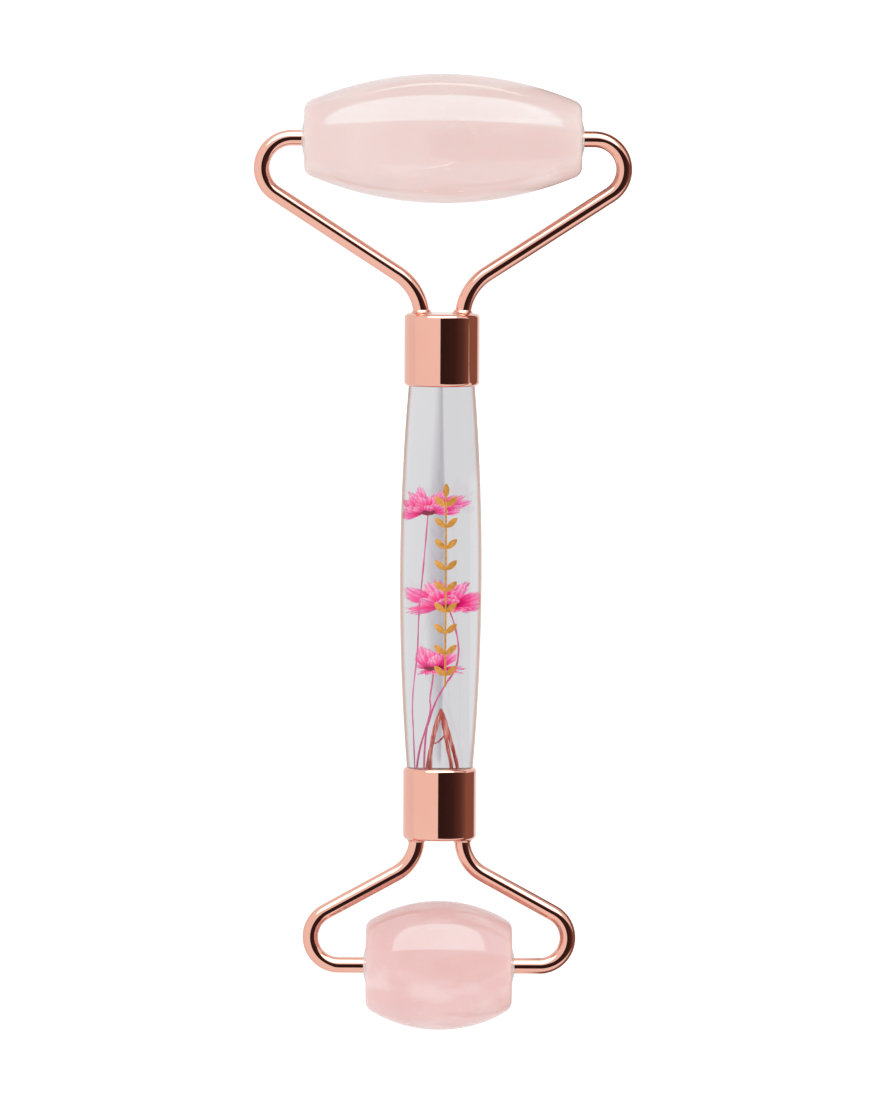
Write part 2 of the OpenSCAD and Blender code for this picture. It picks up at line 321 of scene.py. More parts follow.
def quartz(name, seed, stretch, deep, body, pale, threads=()):
    """Polished rose quartz: cloudy body colour, soft milky bands, tiny wisps and deep translucency.
    Each thread is a white hairline on the upper side: start x, y, end x, y and half width, in mm."""
    mat, nodes, links, bsdf = material(name)
    co = mapped(nodes, links, object_coords(nodes), scale=stretch, offset=(seed, seed * 1.7, seed * 0.4))
    cloud = noise(nodes, links, co, 55, 4, 0.5, 0.5)
    tone = ramp(nodes, links, cloud.outputs["Fac"], [(0.3, deep), (0.5, body), (0.7, pale)])
    milk = noise(nodes, links, mapped(nodes, links, co, scale=(0.5, 1.5, 1.2)), 110, 5, 0.55, 0.9)
    bands = map_range(nodes, links, milk.outputs["Fac"], 0.52, 0.72)
    haze = math_node(nodes, links, "MULTIPLY", bands, 0.35)
    milky = tuple(0.5 * c + 0.5 * 0.93 for c in pale)
    colour = mix_colour(nodes, links, haze, tone.outputs["Color"], milky)
    wisp = noise(nodes, links, mapped(nodes, links, co, scale=(1.0, 2.6, 2.0)), 210, 3, 0.5, 1.4)
    level = math_node(nodes, links, "SUBTRACT", wisp.outputs["Fac"], 0.5)
    contour = map_range(nodes, links, math_node(nodes, links, "ABSOLUTE", level), 0.0, 0.02, 1.0, 0.0)
    where = map_range(nodes, links, noise(nodes, links, co, 95, 2).outputs["Fac"], 0.6, 0.72)
    vein = math_node(nodes, links, "MULTIPLY", math_node(nodes, links, "MULTIPLY", contour, where), 0.25)
    colour = mix_colour(nodes, links, vein, colour, (0.95, 0.88, 0.86))
    split = nodes.new("ShaderNodeSeparateXYZ")
    links.new(object_coords(nodes), split.inputs[0])
    x, y, z = split.outputs
    upper = map_range(nodes, links, z, (AXIS_Z + 2) * MM, (AXIS_Z + 3) * MM)
    for x0, y0, x1, y1, half in threads:
        u = map_range(nodes, links, x, x0 * MM, x1 * MM)
        taper = math_node(nodes, links, "MULTIPLY", math_node(nodes, links, "MULTIPLY", u, 4 * half * MM),
                          math_node(nodes, links, "SUBTRACT", 1.0, u))
        middle = map_range(nodes, links, x, x0 * MM, x1 * MM, y0 * MM, y1 * MM)
        gap = math_node(nodes, links, "ABSOLUTE", math_node(nodes, links, "SUBTRACT", y, middle))
        line = math_node(nodes, links, "LESS_THAN", gap, taper)
        line = math_node(nodes, links, "MULTIPLY", math_node(nodes, links, "MULTIPLY", line, upper), 0.4)
        colour = mix_colour(nodes, links, line, colour, (0.95, 0.86, 0.82))
    links.new(colour, bsdf.inputs["Base Color"])
    bsdf.inputs["Subsurface Weight"].default_value = 1.0
    bsdf.inputs["Subsurface Radius"].default_value = (1.0, 0.7, 0.65)
    bsdf.inputs["Subsurface Scale"].default_value = 0.006
    bsdf.inputs["IOR"].default_value = 1.54
    bsdf.inputs["Specular Tint"].default_value = (0.45, 0.95, 1.0, 1)
    polish = noise(nodes, links, co, 260, 5, 0.6)
    rough = map_range(nodes, links, polish.outputs["Fac"], 0.3, 0.75, 0.025, 0.06)
    links.new(rough, bsdf.inputs["Roughness"])
    pits = noise(nodes, links, co, 900, 3, 0.5)
    bump(nodes, links, pits.outputs["Fac"], 0.05, 0.00002, bsdf)
    return mat


def resin():
    """Clear cast bar: glass-like, with a painted warm reflection where seen edge-on, and faint flow lines
    in its surface.
    """
    mat, nodes, links, bsdf = material("clear_cast_resin")
    co = object_coords(nodes)
    tint = noise(nodes, links, mapped(nodes, links, co, scale=(1, 0.25, 1)), 160, 3)
    tone = ramp(nodes, links, tint.outputs["Fac"], [(0.3, (0.92, 0.92, 0.93)), (0.7, (0.95, 0.95, 0.96))])
    # painted reflection: a warm orange-brown tint in the bar's colour and gloss where it is seen edge-on
    rim = nodes.new("ShaderNodeLayerWeight")
    rim.inputs["Blend"].default_value = 0.5
    warm = map_range(nodes, links, rim.outputs["Facing"], 0.5, 0.7)
    edge = mix_colour(nodes, links, warm, tone.outputs["Color"], (0.5, 0.2, 0.1))
    links.new(edge, bsdf.inputs["Base Color"])
    links.new(edge, bsdf.inputs["Specular Tint"])
    bsdf.inputs["Transmission Weight"].default_value = 1.0
    bsdf.inputs["IOR"].default_value = 1.5
    scuff = noise(nodes, links, co, 700, 5)
    rough = map_range(nodes, links, scuff.outputs["Fac"], 0.4, 0.8, 0.005, 0.02)
    links.new(rough, bsdf.inputs["Roughness"])
    flow = noise(nodes, links, mapped(nodes, links, co, scale=(1, 0.2, 1)), 500, 2)
    bump(nodes, links, flow.outputs["Fac"], 0.03, 0.00002, bsdf)
    # the bar throws no shadow on the flowers in it
    clear = nodes.new("ShaderNodeBsdfTransparent")
    clear.inputs["Color"].default_value = (1.0, 1.0, 1.0, 1)
    light = nodes.new("ShaderNodeLightPath")
    mixer = nodes.new("ShaderNodeMixShader")
    links.new(light.outputs["Is Shadow Ray"], mixer.inputs[0])
    links.new(bsdf.outputs[0], mixer.inputs[1])
    links.new(clear.outputs[0], mixer.inputs[2])
    links.new(mixer.outputs[0], nodes["Material Output"].inputs["Surface"])
    return mat


def bush_plastic():
    """Translucent moulded bush: milky, with moulding swirl."""
    mat, nodes, links, bsdf = material("milky_bush_plastic")
    co = object_coords(nodes)
    swirl = noise(nodes, links, co, 600, 4, 0.5, 0.8)
    tone = ramp(nodes, links, swirl.outputs["Fac"], [(0.3, (0.8, 0.66, 0.62)), (0.7, (0.88, 0.78, 0.75))])
    links.new(tone.outputs["Color"], bsdf.inputs["Base Color"])
    bsdf.inputs["Subsurface Weight"].default_value = 0.6
    bsdf.inputs["Subsurface Radius"].default_value = (1.0, 0.8, 0.75)
    bsdf.inputs["Subsurface Scale"].default_value = 0.0012
    links.new(map_range(nodes, links, swirl.outputs["Fac"], 0.3, 0.7, 0.18, 0.3), bsdf.inputs["Roughness"])
    grain = noise(nodes, links, co, 3000, 3)
    bump(nodes, links, grain.outputs["Fac"], 0.1, 0.00001, bsdf)
    return mat


def cured_resin():
    """Cured adhesive, slightly yellow, with trapped bubbles."""
    mat, nodes, links, bsdf = material("cured_potting_resin")
    co = object_coords(nodes)
    cloud = noise(nodes, links, co, 300, 4)
    tone = ramp(nodes, links, cloud.outputs["Fac"], [(0.3, (0.62, 0.5, 0.42)), (0.7, (0.75, 0.65, 0.56))])
    links.new(tone.outputs["Color"], bsdf.inputs["Base Color"])
    bubbles = nodes.new("ShaderNodeTexVoronoi")
    bubbles.inputs["Scale"].default_value = 1400
    links.new(co, bubbles.inputs["Vector"])
    rough = map_range(nodes, links, bubbles.outputs["Distance"], 0.0, 0.5, 0.5, 0.25)
    links.new(rough, bsdf.inputs["Roughness"])
    bump(nodes, links, bubbles.outputs["Distance"], 0.2, 0.00005, bsdf)
    return mat


def petal_material():
    """Dried petal: deeper at its foot, bright towards the tip, ribbed along its length, with a faint
    painted glow in its own colour.
    """
    mat, nodes, links, bsdf = material("dried_pink_petal")
    uv = nodes.new("ShaderNodeTexCoord").outputs["UV"]
    split = nodes.new("ShaderNodeSeparateXYZ")
    links.new(uv, split.inputs[0])
    blotch = noise(nodes, links, object_coords(nodes), 900, 4)
    along = math_node(nodes, links, "ADD", split.outputs["X"],
                      math_node(nodes, links, "MULTIPLY",
                                math_node(nodes, links, "SUBTRACT", blotch.outputs["Fac"], 0.5), 0.5))
    tone = ramp(nodes, links, along, [
        (0.0, (0.4, 0.0, 0.07)),
        (0.3, (0.76, 0.005, 0.2)),
        (0.6, (0.94, 0.13, 0.43)),
        (0.95, (1.0, 0.52, 0.72)),
    ])
    ribs = nodes.new("ShaderNodeTexWave")
    ribs.bands_direction = "Y"
    ribs.inputs["Scale"].default_value = 0.8
    ribs.inputs["Distortion"].default_value = 1.6
    ribs.inputs["Detail"].default_value = 2
    links.new(uv, ribs.inputs["Vector"])
    shade = map_range(nodes, links, ribs.outputs["Fac"], 0.15, 1.0, 0.0, 0.5)
    colour = mix_colour(nodes, links, shade, tone.outputs["Color"], (0.68, 0.0, 0.2))
    links.new(colour, bsdf.inputs["Base Color"])
    bsdf.inputs["Subsurface Weight"].default_value = 0.35
    bsdf.inputs["Subsurface Radius"].default_value = (1.0, 0.3, 0.6)
    bsdf.inputs["Subsurface Scale"].default_value = 0.0005
    # painted light: the petal glows faintly in its own colour, though it is no lamp
    links.new(colour, bsdf.inputs["Emission Color"])
    bsdf.inputs["Emission Strength"].default_value = 0.26
    links.new(map_range(nodes, links, blotch.outputs["Fac"], 0.3, 0.7, 0.5, 0.75), bsdf.inputs["Roughness"])
    bump(nodes, links, ribs.outputs["Fac"], 0.4, 0.00006, bsdf)
    return mat


def plant_material(name, stops, scale, streak, rough=0.6):
    """Dried stem or calyx: streaks along its length, a fibrous surface and a faint painted glow in its own
    colour.
    """
    mat, nodes, links, bsdf = material(name)
    co = mapped(nodes, links, object_coords(nodes), scale=streak)
    fibre = noise(nodes, links, co, scale, 5, 0.6)
    tone = ramp(nodes, links, fibre.outputs["Fac"], stops)
    links.new(tone.outputs["Color"], bsdf.inputs["Base Color"])
    bsdf.inputs["Subsurface Weight"].default_value = 0.15
    bsdf.inputs["Subsurface Scale"].default_value = 0.0004
    # painted light: stems, calyces and the stalk glow faintly in their own colour, though they are no lamp
    links.new(tone.outputs["Color"], bsdf.inputs["Emission Color"])
    bsdf.inputs["Emission Strength"].default_value = 0.15
    links.new(map_range(nodes, links, fibre.outputs["Fac"], 0.3, 0.7, rough - 0.1, rough + 0.1),
              bsdf.inputs["Roughness"])
    bump(nodes, links, fibre.outputs["Fac"], 0.4, 0.00005, bsdf)
    return mat


def foil_material():
    """Hot-pressed gold leaf: warm, slightly uneven."""
    mat, nodes, links, bsdf = material("gold_leaf_print")
    co = object_coords(nodes)
    press = noise(nodes, links, co, 2200, 4)
    tone = ramp(nodes, links, press.outputs["Fac"], [(0.3, (0.62, 0.27, 0.045)), (0.7, (0.86, 0.42, 0.08))])
    links.new(tone.outputs["Color"], bsdf.inputs["Base Color"])
    bsdf.inputs["Metallic"].default_value = 0.35
    links.new(map_range(nodes, links, press.outputs["Fac"], 0.3, 0.7, 0.28, 0.45), bsdf.inputs["Roughness"])
    bump(nodes, links, press.outputs["Fac"], 0.2, 0.00001, bsdf)
    return mat


PLATE = (0.88, 0.485, 0.39)
MAT_WIRE = rose_gold("rose_gold_wire_plating", PLATE, 0.02, 0.055, 3.1)
MAT_FERRULE = rose_gold("rose_gold_ferrule_plating", PLATE, 0.025, 0.06, 8.4)
MAT_BRAZE = rose_gold("rose_gold_braze", (0.8, 0.43, 0.34), 0.18, 0.3, 5.7)
HAIRLINES = [
    (-3.2, 58.35, 1.4, 59.1, 0.09),
    (-0.4, 58.75, 2.1, 59.45, 0.13),
    (-0.2, 58.3, 1.2, 58.4, 0.07),
    (-3.1, 55.0, -2.0, 54.9, 0.08),
    (2.2, 54.9, 3.5, 55.0, 0.1),
]
MAT_LARGE = quartz("rose_quartz_large", 0.13, (0.7, 1.1, 1.0),
                   (0.75, 0.58, 0.555), (0.765, 0.6, 0.575), (0.78, 0.63, 0.605), HAIRLINES)
MAT_SMALL = quartz("rose_quartz_small", 0.61, (1.0, 0.8, 1.0),
                   (0.745, 0.49, 0.475), (0.758, 0.52, 0.505), (0.77, 0.55, 0.535))
MAT_RESIN = resin()
MAT_BUSH = bush_plastic()
MAT_POTTING = cured_resin()
MAT_PETAL = petal_material()
MAT_CALYX = plant_material("dried_calyx", [
    (0.3, (0.14, 0.0, 0.02)), (0.7, (0.42, 0.0, 0.05))], 1500, (1, 0.5, 1))
MAT_STEM = plant_material("dried_pink_stem", [
    (0.3, (0.55, 0.06, 0.2)), (0.7, (0.85, 0.2, 0.45))], 1200, (1, 0.15, 1))
MAT_STALK = plant_material("dried_brown_stalk", [
    (0.3, (0.3, 0.01, 0.01)), (0.5, (0.52, 0.1, 0.08)), (0.7, (0.9, 0.5, 0.4))], 2600, (1, 0.06, 1))
MAT_GOLD = foil_material()


# ---------- stones and bushes ----------

def crowned_stone(name, centre, length, crown_r, corner_r, mat, body, node, seed):
    """Barrel turned from its outline, with its drilled hole and bush seats inside."""
    half = length / 2
    crown_x = STONE_R - crown_r
    corner_a = half - corner_r
    corner_x = crown_x + math.sqrt((crown_r - corner_r) ** 2 - corner_a ** 2)
    touch = math.degrees(math.asin(corner_a / (crown_r - corner_r)))
    crown = arc((0, crown_x), crown_r, 90 - touch, 90 + touch, 96)
    right = arc((corner_a, corner_x), corner_r, 0, 90 - touch, 14)
    left = arc((-corner_a, corner_x), corner_r, 90 + touch, 180, 14)
    bore_r = 1.5
    seat_end = half - SLEEVE_LENGTH
    face = [(half, SLEEVE_R), (half, (SLEEVE_R + corner_x) / 2)]
    back = [(-half, (SLEEVE_R + corner_x) / 2), (-half, SLEEVE_R)]
    inner = [(-seat_end, SLEEVE_R), (-seat_end, bore_r), (seat_end, bore_r), (seat_end, SLEEVE_R)]
    profile = face + right + crown[1:-1] + left + back + inner
    waves = random.Random(seed)
    terms = [(waves.uniform(-1, 1), waves.choice((2, 3, 4)), waves.uniform(0.12, 0.4),
              waves.uniform(0, 6.28)) for _ in range(6)]

    def wobble(a, t):
        """The slight unevenness of hand polishing, kept off the end faces and inside the CAD stone."""
        if abs(a) >= half - 0.2:
            return 0
        s = sum(k * math.cos(n * t + w * a + p) for k, n, w, p in terms)
        return -0.0011 + 0.00035 * s / 2

    verts, faces = lathe(profile, centre, "X", 192, True, wobble)
    obj = build(name, verts, faces, mat, body, (node,))
    return sharp_by_angle(obj, 50)


crowned_stone("large_quartz_barrel", (0, LARGE_Y, AXIS_Z), LARGE_LENGTH, 51.5, 1.6, MAT_LARGE,
              "large_roller", "large_stone", 11)
crowned_stone("small_quartz_barrel", (0, SMALL_Y, AXIS_Z), SMALL_LENGTH, 20.0, 1.6, MAT_SMALL,
              "small_roller", "small_stone", 23)


def flanged_bush(name, centre, length, side, body, node):
    """Domed flange and sleeve; the sleeve fills its seat in the stone."""
    face = length / 2
    foot = face - SLEEVE_LENGTH
    bore, flange, thick = WIRE_R + 0.06, 2.6, 0.5
    dome_r = (flange ** 2 + thick ** 2) / (2 * thick)
    profile = [(foot, bore + 0.05), (foot, SLEEVE_R - 0.1), (foot + 0.1, SLEEVE_R), (face, SLEEVE_R),
               (face, flange - 0.05), (face + 0.05, flange)]
    steps = 14
    for i in range(steps + 1):
        r = flange - 0.02 - (flange - 0.02 - bore - 0.08) * i / steps
        lift = face + thick - dome_r + math.sqrt(dome_r ** 2 - r ** 2)
        profile.append((max(lift, face + 0.09), r))
    profile += [(profile[-1][0] - 0.05, bore)]
    profile = [(side * a, r) for a, r in profile]
    verts, faces = lathe(profile, centre, "X", 72, True)
    obj = build(name, verts, faces, MAT_BUSH, body, (node,))
    return sharp_by_angle(obj, 40)


for side, word in ((-1, "left"), (1, "right")):
    for head, y, length in (("large", LARGE_Y, LARGE_LENGTH), ("small", SMALL_Y, SMALL_LENGTH)):
        flanged_bush(f"{head}_bush_dome_{word}", (0, y, AXIS_Z), length, side,
                     f"{head}_roller", f"{head}_bush_{word}")


# ---------- yokes ----------

def yoke_path(stone_len, width, corner_r, arm_angle, leg_x, neck_r, reach=7.0):
    """Centre line of the right half, from inside the stone to the middle of the U.
    It is drawn about the stone's axis, with the handle below."""
    a = math.radians(arm_angle)
    corner_x = width / 2 - corner_r
    meet_x = corner_x + corner_r / math.tan(a / 2)
    neck_y = -(meet_x - leg_x) * math.tan(a)
    neck_reach = neck_r * math.tan((math.pi / 2 - a) / 2)
    leg_top = neck_y - neck_reach
    start = stone_len / 2 - reach
    points = [(start + (corner_x - start) * i / 12, 0) for i in range(13)]
    points += arc((corner_x, -corner_r), corner_r, 90, arm_angle - 90, 36)[1:]
    arm_end = (leg_x + neck_reach * math.cos(a), neck_y + neck_reach * math.sin(a))
    sx, sy = points[-1]
    points += [(sx + (arm_end[0] - sx) * i / 20, sy + (arm_end[1] - sy) * i / 20) for i in range(1, 21)]
    points += arc((leg_x + neck_r, leg_top), neck_r, 90 + arm_angle, 180, 24)[1:]
    points += [(leg_x, leg_top - 0.2)]
    points += arc((0, leg_top - 0.2), leg_x, 0, -90, 16)[1:]
    return points


def yoke(name, axis_y, flip, node, **shape):
    """One bent wire with chamfered ends; flip -1 turns it to the other end of the handle."""
    right = yoke_path(**shape)
    path = right + [(-x, y) for x, y in reversed(right[:-1])]
    points = [(x, axis_y + flip * y, AXIS_Z) for x, y in path]
    chamfer = 0.35
    tip = Vector((chamfer, 0, 0))
    first, last = Vector(points[0]), Vector(points[-1])
    points = [tuple(first), tuple(first + tip)] + points[1:-1] + [tuple(last - tip), tuple(last)]
    radii = [WIRE_R - chamfer * 0.6] + [WIRE_R] * (len(points) - 2) + [WIRE_R - chamfer * 0.6]
    verts, faces = tube(points, radii, 48)
    obj = build(name, verts, faces, MAT_WIRE, "frame", (node,))
    return sharp_by_angle(obj, 40)


yoke("large_yoke_wire", LARGE_Y, 1, "upper_yoke",
     stone_len=LARGE_LENGTH, width=54.8, corner_r=4.55, arm_angle=33.0, leg_x=UPPER_LEG_X, neck_r=8.0)
yoke("small_yoke_wire", SMALL_Y, -1, "lower_yoke",
     stone_len=SMALL_LENGTH, width=39.0, corner_r=4.3, arm_angle=28.8, leg_x=LOWER_LEG_X, neck_r=6.0)


# ---------- ferrules ----------

def ferrule(name, face_y, into, node, edge):
    """Drawn cup with rolled rims; into is the way from its closed end to its mouth."""
    size = centre_and_size(node)[1]
    radius, length, end = size.x / 2, size.y, 1.2
    quarter = [math.pi / 2 * i / 14 for i in range(15)]
    outline = [(0.0, 0.0), (0.0, 2.0), (0.0, 3.6)]
    outline += [(edge - edge * math.cos(t), radius - edge + edge * math.sin(t)) for t in quarter]
    outline += [(length * k, radius) for k in (0.25, 0.5, 0.75)]
    outline += [(length - edge + edge * math.sin(t), radius - edge + edge * math.cos(t)) for t in quarter]
    outline += [(length - 0.03, FERRULE_BORE + 0.02), (length - 0.08, FERRULE_BORE),
                (end + 0.4, FERRULE_BORE), (end, FERRULE_BORE - 0.4), (end, 0.0)]
    profile = [(into * a, r) for a, r in outline]
    verts, faces = lathe(profile, (0, face_y, AXIS_Z), "Y", 144, False)
    obj = build(name, verts, faces, MAT_FERRULE, "frame", (node,))
    return sharp_by_angle(obj, 40)


ferrule("upper_ferrule_cup", UP_FACE, -1, "upper_ferrule", 0.7)
ferrule("lower_ferrule_cup", LOW_FACE, 1, "lower_ferrule", 0.6)


def braze(name, face_y, out, leg_x, node):
    """Concave fillet of braze round each leg."""
    parts = []
    for side in (-1, 1):
        profile = [(-0.05, WIRE_R - 0.1), (-0.05, WIRE_R + 0.6)]
        for i in range(9):
            t = i / 8
            profile.append((0.5 * t ** 1.8, WIRE_R + 0.6 - 0.5 * t ** 0.7))
        profile += [(0.5, WIRE_R - 0.1)]
        profile = [(out * a, r) for a, r in profile]
        parts.append(lathe(profile, (side * leg_x, face_y, AXIS_Z), "Y", 48, True))
    verts, faces = merge(*parts)
    obj = build(name, verts, faces, MAT_BRAZE, "frame", (node,))
    return sharp_by_angle(obj, 60)


braze("upper_braze_fillets", UP_FACE, 1, UPPER_LEG_X, "upper_leg_collars")
braze("lower_braze_fillets", LOW_FACE, -1, LOWER_LEG_X, "lower_leg_collars")

for node in ("upper_potting", "lower_potting"):
    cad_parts[node].data.materials.clear()
    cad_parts[node].data.materials.append(MAT_POTTING)


# ---------- handle bar ----------

def handle_bar():
    """The clear bar with its barrelled grip and the two tenons that the ferrules hide."""
    steps = 72
    profile = [(BAR_FOOT_Y, 0.0), (BAR_FOOT_Y, TENON_R - 0.3), (BAR_FOOT_Y + 0.3, TENON_R),
               (LOW_LIP, TENON_R)]
    for i in range(steps + 1):
        y = LOW_LIP + (UP_LIP - LOW_LIP) * i / steps
        profile.append((y, bar_radius(y)))
    top = bar_hi.y
    profile += [(UP_LIP, TENON_R), (top - 0.3, TENON_R), (top, TENON_R - 0.3), (top, 0.0)]
    verts, faces = lathe(profile, (0, 0, AXIS_Z), "Y", 160, False)
    obj = build("clear_handle_bar", verts, faces, MAT_RESIN, "frame", ("handle_bar",))
    return sharp_by_angle(obj, 40)


handle_bar()


# ---------- flowers ----------

# where each head's disc is, how it tilts, and each petal of it: its turn about the disc, its rise
# above it and its roll on its own length, in degrees, then its length and width
TOP = dict(head=(-1.4, 5.9, 0.9), tilt=3, seed=4, blades=[
    (50, 58, 0, 3.6, 1.5), (90, 44, 0, 3.4, 1.6), (130, 58, 0, 3.6, 1.5), (70, 24, 0, 2.8, 1.4),
    (112, 28, 0, 2.9, 1.4), (215, 78, 10, 3.9, 1.5), (190, 55, 60, 3.4, 1.4), (175, 30, -66, 3.7, 1.5),
    (185, 10, 70, 3.5, 1.6), (170, -10, -62, 3.4, 1.5), (350, 66, 58, 3.3, 1.4), (5, 34, -64, 4.3, 1.7),
    (-8, 17, 68, 5.0, 1.3), (10, 0, 66, 3.0, 1.5), (340, 10, -70, 2.9, 1.5), (280, 70, 0, 2.6, 1.6),
    (240, 48, 18, 3.1, 1.5), (300, 40, -16, 3.0, 1.5), (268, 26, 0, 2.4, 1.5), (225, 22, 34, 2.7, 1.4),
    (312, 20, -34, 2.7, 1.4)])
MIDDLE = dict(head=(0.7, -8.4, -0.2), tilt=-2, seed=9, blades=[
    (60, 60, 0, 4.2, 1.8), (90, 50, 0, 4.0, 2.0), (120, 62, 0, 4.3, 1.8), (75, 32, 0, 3.2, 1.6),
    (110, 30, 0, 3.2, 1.6), (180, 31, 66, 5.0, 2.0), (200, 62, 52, 4.1, 1.9), (215, 16, 40, 3.6, 1.9),
    (340, 72, -50, 3.8, 1.5), (0, 30, -66, 4.3, 2.1), (-5, 5, 70, 4.0, 2.0), (180, -2, 24, 4.1, 1.5),
    (176, -12, 14, 3.9, 1.5), (184, -20, 20, 3.6, 1.4), (350, -14, -24, 2.6, 1.3),
    (332, -22, -20, 2.0, 1.2), (310, -16, -10, 1.9, 1.2), (270, 66, 0, 3.9, 2.0), (240, 50, 22, 3.8, 1.9),
    (300, 52, -22, 3.8, 1.9), (255, 30, 8, 2.6, 1.7), (290, 28, -8, 2.6, 1.7)])
LOW = dict(head=(-0.71, -17.8, 0.3), tilt=3, seed=15, blades=[
    (60, 70, 0, 3.5, 1.5), (100, 62, 0, 3.6, 1.6), (140, 72, 0, 3.4, 1.4), (200, 74, 46, 3.7, 1.6),
    (190, 64, 62, 2.7, 1.6), (180, 85, 20, 3.4, 1.5), (0, 50, -64, 3.0, 1.7), (-5, -5, 26, 3.0, 1.1),
    (6, -15, 18, 2.8, 1.0), (178, 27, 30, 1.6, 1.1), (250, 76, 0, 3.2, 1.6), (300, 70, -12, 3.1, 1.6),
    (275, 58, 0, 2.4, 1.5), (30, -30, 0, 1.5, 1.0), (80, -24, 0, 1.4, 1.0), (130, -30, 0, 1.5, 1.0),
    (200, -26, 20, 1.6, 1.1), (235, -38, 0, 1.4, 1.0), (270, -30, 0, 1.3, 1.0), (305, -36, 0, 1.4, 1.0),
    (340, -24, -20, 1.5, 1.1)])
DISC_R, DISC_H = 1.0, 0.7
PETAL_T = 0.08
PETAL_NARROWING = 0.86
TWIN_SWING, TWIN_SHARE = 13, 0.84


def petal(length, width, rng):
    """One blade: points and faces of a crinkled sheet with a ragged tip, and each point's place on it."""
    rows, cols = 14, 10
    verts, marks = [], []
    curl = rng.uniform(-0.3, 0.2)
    twist = math.radians(rng.uniform(-14, 14))
    phase, phase2 = rng.uniform(0, 6.28), rng.uniform(0, 6.28)
    cup = rng.uniform(0.08, 0.22)
    lobes = rng.choice((1.5, 2.0, 2.5))
    teeth = rng.uniform(0.03, 0.07)
    frays = [rng.uniform(-0.02, 0.02) for _ in range(cols + 1)]
    for i in range(rows + 1):
        u = i / rows
        spread = min(1, u / 0.62)
        half = width / 2 * (0.28 + 0.72 * spread ** 0.8) * (1 - 0.2 * max(0, (u - 0.72) / 0.28) ** 2)
        for j in range(cols + 1):
            v = 2 * j / cols - 1
            ragged = teeth * math.cos(2 * math.pi * lobes * v + phase) - 0.22 * v * v + frays[j]
            x = length * (u + (u ** 5) * ragged)
            y = half * v * (1 + 0.05 * math.sin(8 * u + phase2))
            z = curl * u * u * length * 0.3 + cup * half * v * v
            z += 0.05 * math.sin(9 * u + phase) * v + 0.04 * u * math.cos(12 * v + phase2)
            a = twist * u
            y, z = y * math.cos(a) - z * math.sin(a), y * math.sin(a) + z * math.cos(a)
            verts.append((x, y, z))
            marks.append((u, (v + 1) / 2))
    wide = cols + 1
    count = len(verts)
    points = [Vector(v) for v in verts]
    back = []
    for i in range(rows + 1):
        for j in range(wide):
            du = points[min(i + 1, rows) * wide + j] - points[max(i - 1, 0) * wide + j]
            dv = points[i * wide + min(j + 1, cols)] - points[i * wide + max(j - 1, 0)]
            normal = du.cross(dv).normalized()
            here = points[i * wide + j]
            back.append(tuple(here - PETAL_T / 2 * normal))
            verts[i * wide + j] = tuple(here + PETAL_T / 2 * normal)
    verts += back
    marks += marks
    faces = []
    for i in range(rows):
        for j in range(cols):
            k = i * wide + j
            faces.append((k, k + 1, k + wide + 1, k + wide))
            faces.append((count + k, count + k + wide, count + k + wide + 1, count + k + 1))
    rim = list(range(wide)) + [i * wide + cols for i in range(1, rows + 1)]
    rim += [rows * wide + j for j in range(cols - 1, -1, -1)] + [i * wide for i in range(rows - 1, 0, -1)]
    for a, b in zip(rim, rim[1:] + rim[:1]):
        faces.append((b, a, count + a, count + b))
    return verts, faces, marks


def at_head(flower):
    """Matrix from a flower's own frame, +Z up out of the disc, to the row frame."""
    x, y, z = flower["head"]
    return (Matrix.Translation((x, y, AXIS_Z + z))
            @ Matrix.Rotation(math.radians(flower["tilt"]), 4, "Z")
            @ Matrix.Rotation(math.radians(-90), 4, "X"))


def petals(name, flower, node):
    """A flower's petals in one mesh: each one in the list, and beside it a smaller twin."""
    rng = random.Random(flower["seed"])
    place = at_head(flower)
    verts, faces, marks = [], [], []
    for turn, rise, roll, length, width in flower["blades"]:
        for swing, share in ((0, 1.0), (rng.choice((-TWIN_SWING, TWIN_SWING)), TWIN_SHARE)):
            v, f, m = petal(length * share, width * PETAL_NARROWING * share, rng)
            seat = (Matrix.Rotation(math.radians(turn + swing + rng.uniform(-3, 3)), 4, "Z")
                    @ Matrix.Translation((DISC_R * 0.45, 0, DISC_H * 0.5))
                    @ Matrix.Rotation(math.radians(-rise - 0.6 * swing), 4, "Y")
                    @ Matrix.Rotation(math.radians(roll + rng.uniform(-6, 6)), 4, "X"))
            base = len(verts)
            verts += [tuple(place @ seat @ Vector(p)) for p in v]
            faces += [tuple(base + k for k in face) for face in f]
            marks += m
    mesh = bpy.data.meshes.new(name)
    mesh.from_pydata([tuple(MM * c for c in v) for v in verts], [], faces)
    layer = mesh.uv_layers.new(name="UVMap")
    for loop in mesh.loops:
        layer.data[loop.index].uv = marks[loop.vertex_index]
    for poly in mesh.polygons:
        poly.use_smooth = True
    obj = bpy.data.objects.new(name, mesh)
    bpy.context.scene.collection.objects.link(obj)
    mesh.materials.append(MAT_PETAL)
    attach(obj, "frame")
    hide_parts(node)
    return obj


